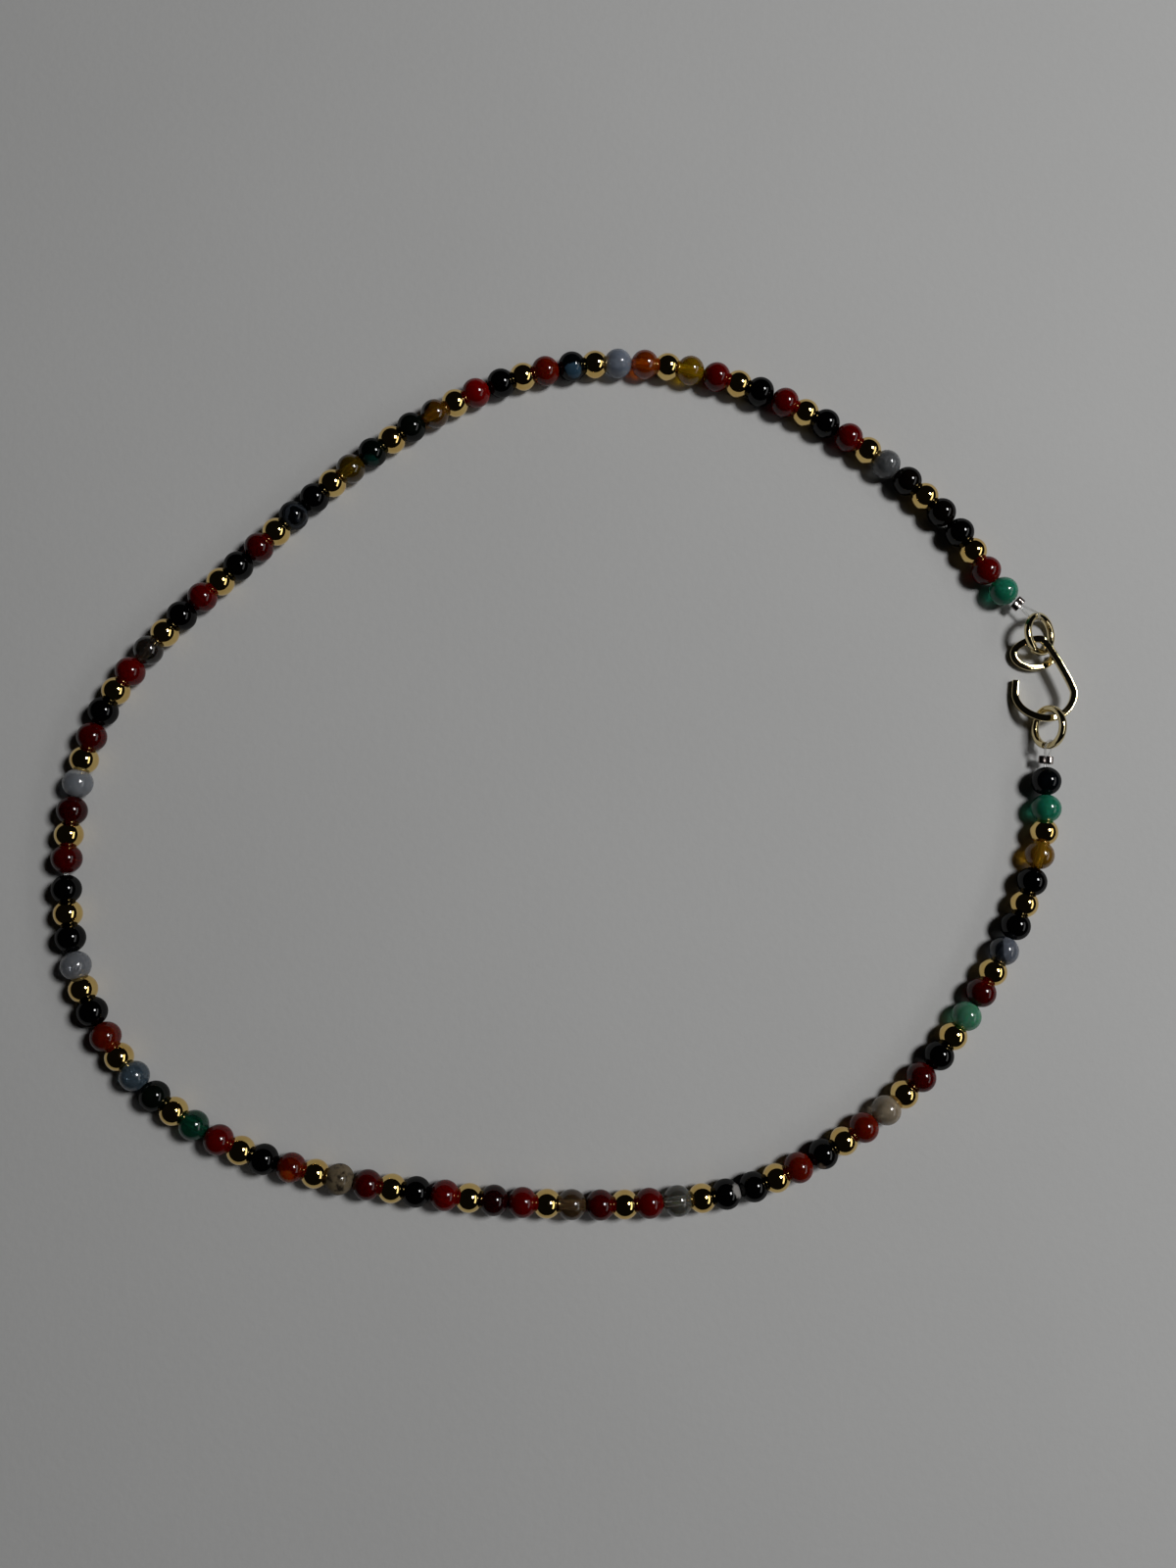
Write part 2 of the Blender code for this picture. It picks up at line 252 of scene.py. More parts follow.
# The patterns in a stone, whose middle is at 0 and whose surface is at 1
markSizes = {
    "driftScale": 1.4, "fineScale": 7.0,
    "bandScale": 5.0, "bandDrift": 0.5, "bandEdges": (0.44, 0.60),
    "cloudScale": 1.9, "cloudEdges": (0.42, 0.66),
    "patchTop": 1.12, "patchDrift": 0.35, "patchEdge": 0.10,
    "boreColour": (0.80, 0.78, 0.74), "boreRoughness": 0.35, "coatRoughness": 0.03, "coatIor": 1.8,
}
goldSizes = {
    "diameter": 0.0040, "holeDiameter": 0.0021, "wall": 0.00028, "lip": 0.00005,
    "aroundSteps": 40, "arcSteps": 16, "turn": 2.4,
}
goldLooks = {
    "light": (0.86, 0.62, 0.23), "worn": (0.78, 0.52, 0.17), "inside": (0.30, 0.17, 0.06),
    "roughness": 0.04, "wornRoughness": 0.05, "insideRoughness": 0.2,
}
stringSizes = {
    "stonesPerGold": 2, "height": 0.00205, "crimpHalf": 0.0005, "clearance": 0.0003,
    "threadDiameter": 0.0003, "strandGap": 0.00034, "routeSteps": 24, "strandStep": 0.0008,
    "strandSides": 8,
}
crimpSizes = {
    "upperHeading": 138.0, "lowerHeading": -96.0, "width": 0.0021, "height": 0.0010, "length": 0.0010,
    "wall": 0.22, "rim": 0.03, "bulge": 0.04, "pinch": 0.30, "pinchWidth": 0.22, "steps": 40,
    "top": (-0.14, 0.0, 1.0),
}
ringSizes = {
    "diameter": 0.0064, "wire": 0.0010, "upperTilt": -33.0, "lowerTilt": 66.0,
    "upperSplit": -124.0, "lowerSplit": -104.0, "splitGap": 3.0, "splitShift": 0.00012, "steps": 96,
    "squareness": 2.6, "lift": 0.00004, "endRound": 0.00012,
}
hookSizes = {
    "wire": 0.0010, "bendRadius": 0.0039, "tipLength": 0.0021, "eyeWidth": 0.0059, "eyeHeight": 0.0039,
    "eyeAboveBend": 0.0059, "eyeInset": 0.0010, "place": (0.06906, 0.0116), "lowest": 0.00056,
    "eyeStart": 80.0, "eyeEnd": 353.0, "tipHeading": 84.0,
    "shankStart": (101.0, 0.17), "shankEnd": (-18.0, 0.105),
    "bendSteps": 12, "riseSteps": 6, "shankSteps": 9, "eyeSteps": 16, "fallSteps": 5, "smoothing": 5,
    "squareness": 6.0, "top": (-0.18, 0.0, 1.0), "endRound": 0.00014,
}
loopSizes = {
    "upperGrab": 112.0, "lowerGrab": -90.0, "play": 0.00004, "intoCrimp": 0.2,
    "legShares": (0.0, 0.3, 0.6, 0.85), "turnSteps": 24, "sides": 10,
}
wireLooks = {
    "paleGold": {"light": (0.78, 0.66, 0.38), "dark": (0.66, 0.53, 0.28), "roughness": 0.03},
    "crimpSilver": {"light": (0.38, 0.33, 0.30), "dark": (0.19, 0.16, 0.15), "roughness": 0.12},
}
flatSides = 48
cutEndShare = 0.72

# The string's route as it lies, from the upper crimp anticlockwise to the lower one
stringRoute = [
    (0.0624, 0.0275), (0.0555, 0.0375), (0.0435, 0.0480), (0.0305, 0.0555), (0.0165, 0.0600),
    (0.0020, 0.0605), (-0.0120, 0.0570), (-0.0255, 0.0495), (-0.0370, 0.0405), (-0.0475, 0.0305),
    (-0.0585, 0.0200), (-0.0670, 0.0085), (-0.0708, -0.0050), (-0.0712, -0.0185), (-0.0683, -0.0315),
    (-0.0605, -0.0435), (-0.0480, -0.0523), (-0.0340, -0.0568), (-0.0195, -0.0592), (-0.0045, -0.0606),
    (0.0105, -0.0607), (0.0250, -0.0587), (0.0380, -0.0525), (0.0485, -0.0445), (0.0565, -0.0345),
    (0.0635, -0.0225), (0.0681, -0.0095),
]


# Paths
def polar(angle, across, up=None):
    turn = math.radians(angle)
    return Vector((math.cos(turn) * across, math.sin(turn) * (across if up is None else up)))


def ease(share):
    share = min(max(share, 0.0), 1.0)
    return share * share * (3 - 2 * share)


def catmullRom(a, b, c, d, share):
    return 0.5 * (
        2 * b
        + (c - a) * share
        + (2 * a - 5 * b + 4 * c - d) * share**2
        + (3 * b - a - 3 * c + d) * share**3
    )


def bezier(a, b, c, d, share):
    rest = 1 - share
    return rest**3 * a + 3 * rest**2 * share * b + 3 * rest * share**2 * c + share**3 * d


# A smooth curve through the points, in short steps
def smoothPath(points, steps):
    padded = [2 * points[0] - points[1], *points, 2 * points[-1] - points[-2]]
    places = [points[0]]
    for index in range(len(points) - 1):
        corners = padded[index:index + 4]
        for step in range(1, steps + 1):
            places.append(catmullRom(*corners, step / steps))
    return places


# The string's path, measured by its length
class Route:
    def __init__(self, points):
        self.places = smoothPath(points, stringSizes["routeSteps"])
        self.distances = [0.0]
        for start, end in zip(self.places, self.places[1:]):
            self.distances.append(self.distances[-1] + (end - start).length)
        self.length = self.distances[-1]

    def at(self, distance):
        for index, reached in enumerate(self.distances[1:]):
            if reached >= distance:
                start = self.distances[index]
                share = (distance - start) / (reached - start)
                return self.places[index].lerp(self.places[index + 1], share)
        return self.places[-1]


def boxCentre(node):
    low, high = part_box(node)
    return (low + high) / 2


# Meshes
def finishPiece(model, name, material, nodes, sharpAngle=50.0):
    mesh = bpy.data.meshes.new(name)
    model.to_mesh(mesh)
    model.free()
    mesh.materials.append(material)
    mesh.shade_smooth()
    mesh.set_sharp_from_angle(angle=math.radians(sharpAngle))
    piece = bpy.data.objects.new(name, mesh)
    bpy.context.collection.objects.link(piece)
    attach(piece, "root")
    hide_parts(*nodes)
    return piece


# A closed profile in the XZ plane, spun about Z
def spinProfile(profile, steps):
    model = bmesh.new()
    corners = [model.verts.new((across, 0.0, along)) for across, along in profile]
    edges = [model.edges.new((start, end)) for start, end in zip(corners, corners[1:] + corners[:1])]
    bmesh.ops.spin(
        model, geom=corners + edges, cent=(0, 0, 0), axis=(0, 0, 1), angle=2 * math.pi,
        steps=steps, use_merge=True)
    bmesh.ops.remove_doubles(model, verts=model.verts, dist=1e-7)
    bmesh.ops.recalc_face_normals(model, faces=model.faces)
    return model


# A copy of a spun bead's mesh within the piece's mesh, and its new vertices
def addCopy(model, bead):
    first = len(model.verts)
    model.from_mesh(bead)
    model.verts.ensure_lookup_table()
    return model.verts[first:]


# The frames along a path, which turn as little as they can or keep one side towards a given top
def pathFrames(path, radii, top):
    frames = []
    side = None
    for index, place in enumerate(path):
        ahead = path[min(index + 1, len(path) - 1)]
        behind = path[max(index - 1, 0)]
        forward = (ahead - behind).normalized()
        if top:
            side = Vector(top)
        elif side is None:
            side = forward.orthogonal()
        side = (side - forward * side.dot(forward)).normalized()
        across = forward.cross(side)
        axes = Matrix((side, across, forward)).transposed().to_4x4()
        frames.append(Matrix.Translation(place) @ axes @ Matrix.Scale(radii[index], 4))
    return frames


# A wire along the path, with its length and its angle kept for its draw lines. At a squareness of 2
# it is round, and above that it has flatter sides with round corners.
def addWire(model, path, radii, sides, squareness=2.0, top=None):
    wirePlace = model.verts.layers.float_vector["wirePlace"]
    frames = pathFrames(path, radii, top)
    ring = bmesh.ops.create_circle(model, segments=sides, radius=1.0)["verts"]
    for corner in ring:
        reach = abs(corner.co.x) ** squareness + abs(corner.co.y) ** squareness
        corner.co *= reach ** (-1 / squareness)
        corner[wirePlace] = corner.co
    bmesh.ops.transform(model, matrix=frames[0], verts=ring)
    edges = list({edge for corner in ring for edge in corner.link_edges})
    first = edges
    reached = 0.0
    for index in range(1, len(frames)):
        reached += (path[index] - path[index - 1]).length
        made = bmesh.ops.extrude_edge_only(model, edges=edges)["geom"]
        fresh = [item for item in made if isinstance(item, bmesh.types.BMVert)]
        edges = [item for item in made if isinstance(item, bmesh.types.BMEdge)]
        edges = [edge for edge in edges if edge.verts[0] in fresh and edge.verts[1] in fresh]
        for corner in fresh:
            corner[wirePlace] = (*corner[wirePlace].xy, reached * 1000)
        bmesh.ops.transform(model, matrix=frames[index] @ frames[index - 1].inverted(), verts=fresh)
    bmesh.ops.contextual_create(model, geom=first)
    bmesh.ops.contextual_create(model, geom=edges)


def newWireModel():
    model = bmesh.new()
    model.verts.layers.float_vector.new("wirePlace")
    return model


# A wire's radius along its path, which narrows to a share of itself at each cut end
def roundedEnds(path, radius, depth):
    reached = 0.0
    distances = [0.0]
    for start, end in zip(path, path[1:]):
        reached += (end - start).length
        distances.append(reached)
    radii = []
    for distance in distances:
        near = min(distance, reached - distance) / depth
        rounding = math.sqrt(1 - (1 - min(near, 1.0)) ** 2)
        radii.append(radius * (cutEndShare + (1 - cutEndShare) * rounding))
    return radii


# A path with extra points close to each end, so that its cut ends can be rounded
def withEndPoints(path, depth):
    start = (path[1] - path[0]).normalized()
    end = (path[-2] - path[-1]).normalized()
    shares = [0.12, 0.35, 0.65, 1.0]
    first = [path[0] + start * depth * share for share in shares]
    last = [path[-1] + end * depth * share for share in reversed(shares)]
    middle = [p for p in path[1:-1] if min((p - path[0]).length, (p - path[-1]).length) > depth * 1.3]
    return [path[0], *first, *middle, *last, path[-1]]


# Finishes
def makeStoneFinish(name, look):
    finish = Finish(name)
    sizes = markSizes
    space = finish.attribute("stoneSpace", "Vector")
    marks = finish.attribute("beadMark", "Vector")
    bore = finish.attribute("boreWall", "Fac")
    up = finish.part(space, "Z")
    drift = finish.noise(space, sizes["driftScale"])
    fine = finish.noise(space, sizes["fineScale"], 3.0, 0.5)
    layers = finish.node("ShaderNodeTexNoise", {"noise_dimensions": "1D"}, {
        "W": up + drift * sizes["bandDrift"], "Scale": sizes["bandScale"],
        "Detail": 3.0, "Roughness": 0.6})
    bandMask = finish.step(layers, *sizes["bandEdges"]) * finish.part(marks, "X")
    clouds = finish.noise(space, sizes["cloudScale"], 4.0)
    cloudMask = finish.step(clouds, *sizes["cloudEdges"]) * finish.part(marks, "Y")
    edge = sizes["patchTop"] - finish.part(marks, "Z")
    patch = up + (drift - 0.5) * sizes["patchDrift"]
    patchMask = finish.step(patch, edge, edge + sizes["patchEdge"])
    patchMask = patchMask * finish.step(finish.part(marks, "Z"), 0.0, 0.05)
    mask = bandMask.higher(cloudMask).higher(patchMask)
    first = finish.attribute("beadTint", "Color")
    stone = finish.blend(mask, first, finish.attribute("beadSecond", "Color"))
    grain = look["grain"]
    stone = finish.blend(1.0, stone, finish.grey(1 - grain / 2 + fine * grain), "MULTIPLY")
    stone = finish.blend(bore * look["clear"], stone, colour(*sizes["boreColour"]))
    return finish.surface({
        "Base Color": stone,
        "Roughness": look["roughness"] + (fine - 0.5) * 0.06 + bore * sizes["boreRoughness"],
        "IOR": look["ior"],
        "Transmission Weight": look["clear"],
        "Subsurface Weight": look["glow"],
        "Subsurface Radius": look["glowColour"],
        "Subsurface Scale": look["glowDepth"],
        "Specular IOR Level": look["shine"],
        "Coat Weight": look["coat"],
        "Coat Roughness": sizes["coatRoughness"],
        "Coat IOR": sizes["coatIor"],
        "Normal": finish.bump(fine, look["bump"]),
    })


def makeGoldBeadFinish():
    finish = Finish("richGold")
    look = goldLooks
    place = finish.objectPlace()
    worn = finish.noise(place, 420.0, 4.0)
    fine = finish.noise(place, 3200.0, 3.0)
    rim = finish.attribute("boreWall", "Fac")
    gold = finish.blend(finish.step(worn, 0.35, 0.7), colour(*look["light"]), colour(*look["worn"]))
    gold = finish.blend(rim * 0.7, gold, colour(*look["inside"]))
    wear = finish.step(worn, 0.4, 0.8) * look["wornRoughness"]
    return finish.surface({
        "Base Color": gold,
        "Metallic": 1.0,
        "Roughness": look["roughness"] + wear + rim * look["insideRoughness"],
        "Normal": finish.bump(fine, 0.000004),
    })


def makeWireFinish(name):
    finish = Finish(name)
    look = wireLooks[name]
    along = finish.attribute("wirePlace", "Vector")
    lines = finish.noise(finish.stretch(along, (7.0, 7.0, 0.35)), 1.0, 4.0, 0.6)
    worn = finish.noise(finish.objectPlace(), 700.0, 4.0)
    metal = finish.blend(finish.step(worn, 0.38, 0.70), colour(*look["light"]), colour(*look["dark"]))
    return finish.surface({
        "Base Color": metal,
        "Metallic": 1.0,
        "Roughness": look["roughness"] + lines * 0.04 + finish.step(worn, 0.45, 0.75) * 0.04,
        "Normal": finish.bump(lines, 0.000004),
    })


def makeThreadFinish():
    finish = Finish("clearNylon")
    along = finish.attribute("wirePlace", "Vector")
    lines = finish.noise(finish.stretch(along, (3.0, 3.0, 0.8)), 1.0, 3.0)
    return finish.surface({
        "Base Color": finish.blend(lines, colour(0.86, 0.86, 0.84), colour(0.96, 0.96, 0.95)),
        "Roughness": 0.10 + lines * 0.12,
        "IOR": 1.53,
        "Transmission Weight": 0.85,
        "Normal": finish.bump(lines, 0.000004),
    })


# Beads
def stoneProfile():
    sizes = stoneSizes
    radius = sizes["diameter"] / 2
    last = math.acos(sizes["endDiameter"] / sizes["diameter"])
    reach = sizes["length"] / 2 / math.sin(last)
    steps = sizes["arcSteps"]
    angles = [last * (2 * index / steps - 1) for index in range(steps + 1)]
    outer = [(radius * math.cos(angle), reach * math.sin(angle)) for angle in angles]
    bore = sizes["boreDiameter"] / 2
    end = sizes["length"] / 2
    depth = end - sizes["boreChamfer"]
    return outer + [(bore, depth), (bore, end / 3), (bore, -end / 3), (bore, -depth)]


def goldProfile():
    sizes = goldSizes
    radius = sizes["diameter"] / 2
    hole = sizes["holeDiameter"] / 2
    inner = radius - sizes["wall"]
    last = math.acos(hole / radius)
    steps = sizes["arcSteps"]
    angles = [last * (2 * index / steps - 1) for index in range(steps + 1)]
    outer = [(radius * math.cos(angle), radius * math.sin(angle)) for angle in angles]
    far = math.acos(hole / inner)
    inside = [(inner * math.cos(angle), inner * math.sin(angle)) for angle in
              [far * (1 - 2 * index / steps) for index in range(steps + 1)]]
    top = outer[-1][1]
    under = inside[0][1]
    rim = hole - sizes["lip"]
    lip = [(rim, top - sizes["lip"] * 0.8), (rim, under + sizes["lip"] * 0.6)]
    foot = [(across, -along) for across, along in reversed(lip)]
    return outer + lip + inside + foot


def isGold(index):
    return index % (stringSizes["stonesPerGold"] + 1) == stringSizes["stonesPerGold"]


# How far a bead reaches from its middle to its neighbour, where stones nest in a gold bead's hole
def halfLength(index, neighbour):
    gold = goldSizes
    stone = stoneSizes
    if isGold(index):
        return math.sqrt(gold["diameter"] ** 2 - gold["holeDiameter"] ** 2) / 2
    if isGold(neighbour):
        return stone["length"] / 2 * math.sqrt(1 - (gold["holeDiameter"] / stone["diameter"]) ** 2)
    return stone["length"] / 2


# Each bead's middle and its axis, as the beads lie along the route
def beadPlaces(route):
    sizes = stringSizes
    threadStart = sizes["crimpHalf"] + sizes["clearance"]
    start = threadStart + sizes["threadDiameter"]
    stones = len(stoneOrder)
    count = stones + (stones - 1) // sizes["stonesPerGold"]
    period = sizes["stonesPerGold"] + 1
    half = period * (count // (2 * period)) + 1
    places = []
    reached = start
    for index in range(count):
        if index == half:
            reached += sizes["clearance"]
        behind = halfLength(index, index - 1)
        length = behind + halfLength(index, index + 1)
        first = route.at(reached)
        last = route.at(reached + length)
        places.append((first.lerp(last, behind / length), (last - first).normalized()))
        reached += length
    return places


# A turn that lays the Z axis along the direction, with any turn about it
def turnTo(direction, spin):
    return direction.to_track_quat("Z", "Y").to_matrix() @ Matrix.Rotation(spin, 3, "Z")


def stoneBead():
    model = spinProfile(stoneProfile(), stoneSizes["aroundSteps"])
    wall = model.verts.layers.float.new("boreWall")
    for corner in model.verts:
        corner[wall] = 1.0 if corner.co.xy.length < stoneSizes["endDiameter"] / 2 * 0.97 else 0.0
    mesh = bpy.data.meshes.new("stoneBead")
    model.to_mesh(mesh)
    model.free()
    return mesh


def goldBead():
    model = spinProfile(goldProfile(), goldSizes["aroundSteps"])
    wall = model.verts.layers.float.new("boreWall")
    for corner in model.verts:
        inside = corner.co.length < goldSizes["diameter"] / 2 * 0.985
        corner[wall] = 1.0 if inside else 0.0
    mesh = bpy.data.meshes.new("goldBead")
    model.to_mesh(mesh)
    model.free()
    return mesh


def newBeadModel():
    model = bmesh.new()
    model.verts.layers.float.new("boreWall")
    model.verts.layers.float_vector.new("stoneSpace")
    model.verts.layers.float_vector.new("beadMark")
    model.verts.layers.float_color.new("beadTint")
    model.verts.layers.float_color.new("beadSecond")
    return model


def addStones(places, strings):
    chance = random.Random(stoneSizes["seed"])
    bead = stoneBead()
    models = {name: newBeadModel() for name in stoneLooks}
    stonePlaces = [place for index, place in enumerate(places) if not isGold(index)]
    for entry, (middle, axis) in zip(stoneOrder, stonePlaces):
        kind, facing = (entry, None) if isinstance(entry, str) else entry
        piece, tint, second, marks = stoneKinds[kind]
        model = models[piece]
        fresh = addCopy(model, bead)
        layers = model.verts.layers
        space = layers.float_vector["stoneSpace"]
        lean = Vector([chance.uniform(-1, 1) * math.radians(stoneSizes["tilt"]) for _ in range(3)])
        turn = turnTo((axis + lean.cross(axis)).normalized(), chance.uniform(0, 2 * math.pi))
        size = chance.uniform(stoneSizes["smallest"], stoneSizes["largest"])
        if facing is None:
            facing = [chance.uniform(-1, 1) for _ in range(3)]
        markTurn = turnTo(Vector(facing).normalized(), chance.uniform(0, 2 * math.pi)).transposed()
        shift = Vector((0, 0, 0))
        if marks[2] == 0:
            shift = Vector([chance.uniform(-20, 20) for _ in range(3)])
        for corner in fresh:
            place = turn @ corner.co
            corner[space] = markTurn @ place / (stoneSizes["diameter"] / 2) + shift
            corner[layers.float_vector["beadMark"]] = marks
            corner[layers.float_color["beadTint"]] = colour(*tint)
            corner[layers.float_color["beadSecond"]] = colour(*second)
        flat = chance.uniform(stoneSizes["flattest"], 1.0)
        widths = Matrix.Diagonal((size, size * flat, 1.0, 1.0))
        lift = Vector((0, 0, stoneSizes["lift"]))
        matrix = Matrix.Translation(middle + lift) @ turn.to_4x4() @ widths
        bmesh.ops.transform(model, matrix=matrix, verts=fresh)
    for name, look in stoneLooks.items():
        finishPiece(models[name], name, makeStoneFinish(name, look), strings, 60.0)
        print("made", name)


def addGoldBeads(places, strings):
    bead = goldBead()
    model = newBeadModel()
    for index, (middle, axis) in enumerate(places):
        if isGold(index):
            fresh = addCopy(model, bead)
            turn = turnTo(axis, index * goldSizes["turn"]).to_4x4()
            bmesh.ops.transform(model, matrix=Matrix.Translation(middle) @ turn, verts=fresh)
    finishPiece(model, "goldBeads", makeGoldBeadFinish(), strings)
    print("made the gold beads")


# Thread
def addStrands(route, material, strings):
    sizes = stringSizes
    model = newWireModel()
    steps = int(route.length / sizes["strandStep"])
    middle = [route.at(route.length * index / steps) for index in range(steps + 1)]
    for side in (-1, 1):
        path = []
        for index, place in enumerate(middle):
            ahead = middle[min(index + 1, steps)] - middle[max(index - 1, 0)]
            across = Vector((-ahead.y, ahead.x, 0.0)).normalized()
            path.append(place + across * side * sizes["strandGap"] / 2)
        addWire(model, path, [sizes["threadDiameter"] / 2] * len(path), sizes["strandSides"])
    bmesh.ops.recalc_face_normals(model, faces=model.faces)
    finishPiece(model, "stringThread", material, strings)


def ringCentre(side):
    return boxCentre("jump_ring_" + side) + Vector((0, 0, ringSizes["lift"]))


def ringRadius():
    return (ringSizes["diameter"] - ringSizes["wire"]) / 2


# A point of a ring's wire, whose right side is up if the tilt is above 0 and its left if below
def onRing(centre, angle, tilt):
    flat = polar(angle, ringRadius())
    lean = math.radians(tilt)
    return centre + Vector((flat.x * math.cos(lean), flat.y, flat.x * math.sin(lean)))


# The thread's bight round a ring, with both legs ending within the crimp
def addThreadLoop(name, ring, grabAngle, tilt, crimp, material, node):
    sizes = stringSizes
    grab = onRing(ring, grabAngle, tilt)
    along = (onRing(ring, grabAngle + 1, tilt) - grab).normalized()
    reach = crimp - grab
    out = reach.normalized()
    side = along.cross(out).normalized()
    legEnd = reach.length - crimpSizes["length"] * loopSizes["intoCrimp"]
    legSide = sizes["strandGap"] / 2
    slant = math.asin(along.dot(out))
    bend = ((ringSizes["wire"] + sizes["threadDiameter"]) / 2 + loopSizes["play"]) / math.cos(slant)
    first = math.atan2(legSide, legEnd) + math.acos(bend / math.hypot(legEnd, legSide))
    first = math.degrees(first)
    legs = loopSizes["legShares"]
    steps = loopSizes["turnSteps"]
    turnStart = polar(first, bend)
    flat = [Vector((legEnd, legSide)).lerp(turnStart, share) for share in legs]
    flat += [polar(first + (360 - 2 * first) * step / steps, bend) for step in range(steps + 1)]
    turnEnd = polar(-first, bend)
    flat += [Vector((legEnd, -legSide)).lerp(turnEnd, share) for share in reversed(legs)]
    model = newWireModel()
    path = [grab + out * place.x + side * place.y for place in flat]
    addWire(model, path, [sizes["threadDiameter"] / 2] * len(path), loopSizes["sides"])
    bmesh.ops.recalc_face_normals(model, faces=model.faces)
    finishPiece(model, name, material, [node])


# Crimps
def addCrimp(name, node, heading, material):
    sizes = crimpSizes
    outer = 0.5
    inner = outer - sizes["wall"] / 2
    end = outer + sizes["bulge"]
    rim = sizes["rim"]
    profile = [
        (inner, -0.5), (inner + rim, -end), (outer - rim, -end), (outer, -0.48), (outer, -0.25),
        (outer, 0.0), (outer, 0.25), (outer, 0.48), (outer - rim, end), (inner + rim, end),
        (inner, 0.5), (inner, 0.0),
    ]
    model = spinProfile(profile, sizes["steps"])
    wirePlace = model.verts.layers.float_vector.new("wirePlace")
    bmesh.ops.scale(model, vec=(sizes["height"], sizes["width"], sizes["length"]), verts=model.verts)
    for corner in model.verts:
        middle = math.exp(-((corner.co.y / (sizes["width"] * sizes["pinchWidth"])) ** 2))
        ends = 1 - (corner.co.z / sizes["length"]) ** 2
        corner.co.x *= 1 - sizes["pinch"] * middle * ends
        corner[wirePlace] = corner.co * 1000
    forward = polar(heading, 1.0).to_3d()
    down = -Vector(sizes["top"])
    down = (down - forward * down.dot(forward)).normalized()
    axes = Matrix((down, forward.cross(down), forward)).transposed().to_4x4()
    bmesh.ops.transform(model, matrix=Matrix.Translation(boxCentre(node)) @ axes, verts=model.verts)
    finishPiece(model, name, material, [node], 40.0)


# Jump rings
def addRing(name, node, centre, split, tilt, material):
    sizes = ringSizes
    lean = math.radians(tilt)
    normal = Vector((-math.sin(lean), 0.0, math.cos(lean)))
    path = []
    for step in range(sizes["steps"] + 1):
        share = step / sizes["steps"]
        angle = split + sizes["splitGap"] / 2 + (360 - sizes["splitGap"]) * share
        shift = sizes["splitShift"] * (ease(4 * share - 3) - ease(1 - 4 * share))
        path.append(onRing(centre, angle, tilt) + normal * shift)
    path = withEndPoints(path, sizes["endRound"])
    model = newWireModel()
    radii = roundedEnds(path, sizes["wire"] / 2, sizes["endRound"])
    addWire(model, path, radii, flatSides, sizes["squareness"], normal)
    bmesh.ops.recalc_face_normals(model, faces=model.faces)
    finishPiece(model, name, material, [node])


# Hook
def onHookEye(angle):
    sizes = hookSizes
    centre = Vector(sizes["place"]) + Vector((-sizes["eyeInset"], sizes["eyeAboveBend"]))
    return centre + polar(angle, sizes["eyeWidth"] / 2, sizes["eyeHeight"] / 2)


def onHookBend(angle):
    return Vector(hookSizes["place"]) + polar(angle, hookSizes["bendRadius"])


# The hook's centre line, from its tip round the bend, up the shank and round the eye
def hookPath():
    sizes = hookSizes
    low = sizes["lowest"]
    bendHeight = boxCentre("jump_ring_lower").z
    eyeHeight = boxCentre("jump_ring_upper").z + 2 * stringSizes["clearance"]
    tip = onHookBend(180) + polar(sizes["tipHeading"], sizes["tipLength"])
    points = [(*tip, low)]
    for step in range(sizes["bendSteps"] + 1):
        rise = ease(step / sizes["riseSteps"])
        place = onHookBend(180 + 180 * step / sizes["bendSteps"])
        points.append((*place, low + (bendHeight - low) * rise))
    start = onHookBend(0)
    end = onHookEye(sizes["eyeStart"])
    reach = (end - start).length
    startTurn, startShare = sizes["shankStart"]
    endTurn, endShare = sizes["shankEnd"]
    leave = start + polar(startTurn, startShare * reach)
    arrive = end + polar(endTurn, endShare * reach)
    for step in range(1, sizes["shankSteps"]):
        share = step / sizes["shankSteps"]
        height = bendHeight + (eyeHeight - bendHeight) * ease(share)
        points.append((*bezier(start, leave, arrive, end, share), height))
    arc = sizes["eyeEnd"] - sizes["eyeStart"]
    for step in range(sizes["eyeSteps"] + 1):
        fall = ease(step / sizes["fallSteps"])
        place = onHookEye(sizes["eyeStart"] + arc * step / sizes["eyeSteps"])
        points.append((*place, eyeHeight + (low - eyeHeight) * fall))
    return smoothPath([Vector(point) for point in points], sizes["smoothing"])


def addHook(material):
    path = withEndPoints(hookPath(), hookSizes["endRound"])
    model = newWireModel()
    radii = roundedEnds(path, hookSizes["wire"] / 2, hookSizes["endRound"])
    addWire(model, path, radii, flatSides, hookSizes["squareness"], hookSizes["top"])
    bmesh.ops.recalc_face_normals(model, faces=model.faces)
    finishPiece(model, "hookClasp", material, ["hook_clasp"])


# Floor, light and camera
studio = {
    "floor": (0.45, 0.45, 0.445), "floorSize": 3.0, "world": 0.003,
    "window": {"azimuth": 20, "elevation": 55, "distance": 0.75, "size": (0.15, 0.175), "power": 3.7},
    "sky": {"azimuth": -8, "elevation": 35, "distance": 0.9, "size": (0.20, 0.9), "power": 1.0},
}
viewpoint = {
    "lens": 29.25, "sensor": 36.0, "clipStart": 0.005, "turn": (5.5, -1.5, 0.0),
    "target": (0.002285, -0.001964, 0.00205), "distance": 0.1831,
}


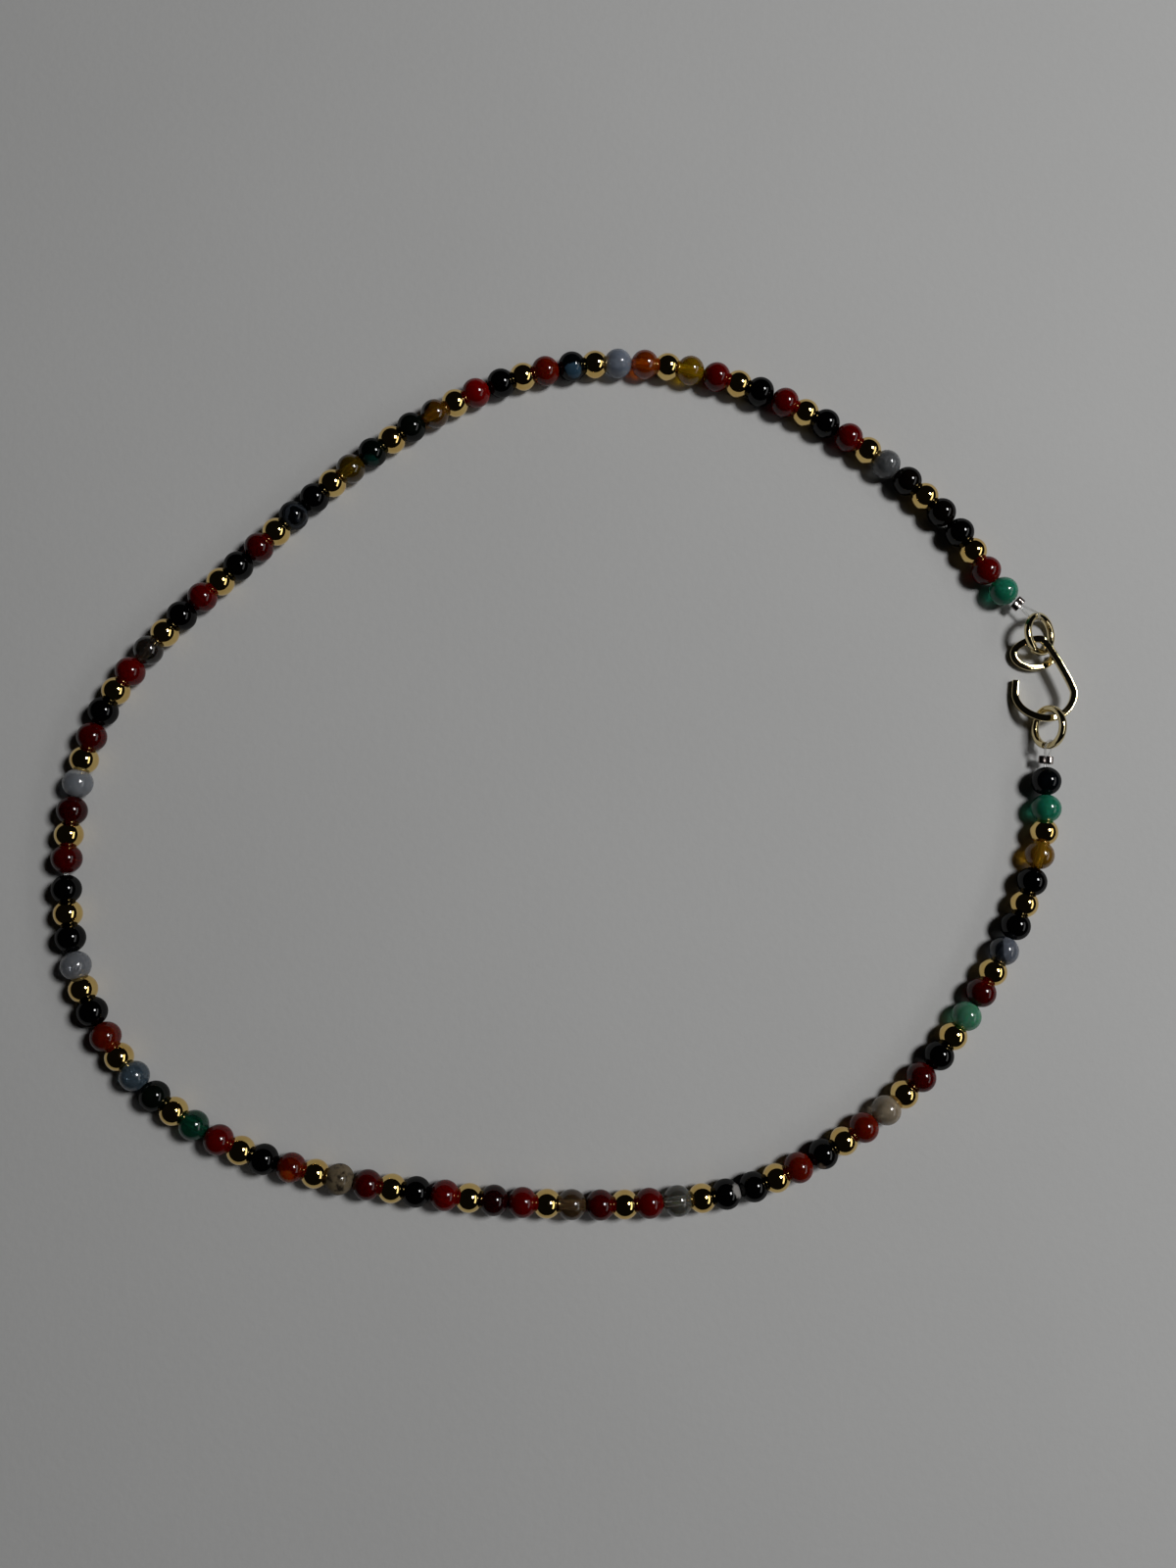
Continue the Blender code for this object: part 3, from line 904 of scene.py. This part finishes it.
def addFloor():
    model = bmesh.new()
    bmesh.ops.create_grid(model, x_segments=1, y_segments=1, size=studio["floorSize"])
    mesh = bpy.data.meshes.new("floor")
    model.to_mesh(mesh)
    model.free()
    finish = Finish("paleFloor")
    place = finish.objectPlace()
    grain = finish.noise(place, 900.0, 3.0)
    wide = finish.noise(place, 14.0, 3.0)
    shade = finish.grey(0.93 + wide * 0.10 + grain * 0.04)
    tone = finish.blend(1.0, colour(*studio["floor"]), shade, "MULTIPLY")
    mesh.materials.append(finish.surface({
        "Base Color": tone, "Roughness": 0.85, "Normal": finish.bump(grain, 0.00003)}))
    floor = bpy.data.objects.new("floor", mesh)
    bpy.context.collection.objects.link(floor)


def addLight(name):
    look = studio[name]
    light = bpy.data.lights.new(name, "AREA")
    light.shape = "RECTANGLE"
    light.size, light.size_y = look["size"]
    light.energy = look["power"]
    turn = math.radians(look["azimuth"])
    rise = math.radians(look["elevation"])
    away = Vector((math.cos(turn) * math.cos(rise), math.sin(turn) * math.cos(rise), math.sin(rise)))
    lamp = bpy.data.objects.new(name, light)
    lamp.location = away * look["distance"]
    side = Vector((-math.sin(turn), math.cos(turn), 0.0))
    lamp.rotation_euler = Matrix((side.cross(away), side, away)).transposed().to_euler()
    bpy.context.collection.objects.link(lamp)


def addStudio():
    addFloor()
    addLight("window")
    addLight("sky")
    world = bpy.data.worlds.new("studio")
    world.use_nodes = True
    level = studio["world"]
    world.node_tree.nodes["Background"].inputs["Color"].default_value = colour(level, level, level)
    bpy.context.scene.world = world
    bpy.context.scene.view_settings.view_transform = "Standard"


def addCamera():
    camera = bpy.data.cameras.new("camera")
    camera.lens = viewpoint["lens"]
    camera.sensor_width = viewpoint["sensor"]
    camera.sensor_fit = "AUTO"
    camera.clip_start = viewpoint["clipStart"]
    viewer = bpy.data.objects.new("camera", camera)
    viewer.rotation_euler = [math.radians(angle) for angle in viewpoint["turn"]]
    target = Vector(viewpoint["target"])
    forward = viewer.rotation_euler.to_matrix() @ Vector((0.0, 0.0, -1.0))
    viewer.location = target - forward * viewpoint["distance"]
    bpy.context.collection.objects.link(viewer)
    bpy.context.scene.camera = viewer


def buildNecklace():
    strings = ["bead_string_upper", "bead_string_lower"]
    crimps = [boxCentre("crimp_upper"), boxCentre("crimp_lower")]
    middle = [Vector((x, y, stringSizes["height"])) for x, y in stringRoute]
    route = Route([crimps[0], *middle, crimps[1]])
    places = beadPlaces(route)
    addStones(places, strings)
    addGoldBeads(places, strings)
    nylon = makeThreadFinish()
    addStrands(route, nylon, strings)
    print("made the thread")
    paleGold = makeWireFinish("paleGold")
    silver = makeWireFinish("crimpSilver")
    addHook(paleGold)
    for side, crimp in zip(("upper", "lower"), crimps):
        ring = ringCentre(side)
        tilt = ringSizes[side + "Tilt"]
        title = side.capitalize()
        split = ringSizes[side + "Split"]
        addRing("jumpRing" + title, "jump_ring_" + side, ring, split, tilt, paleGold)
        grab = loopSizes[side + "Grab"]
        addThreadLoop("threadLoop" + title, ring, grab, tilt, crimp, nylon, "thread_loop_" + side)
        addCrimp("crimp" + title, "crimp_" + side, crimpSizes[side + "Heading"], silver)
    print("made the clasp")


buildNecklace()
addStudio()
addCamera()
print("made the floor, lights and camera")
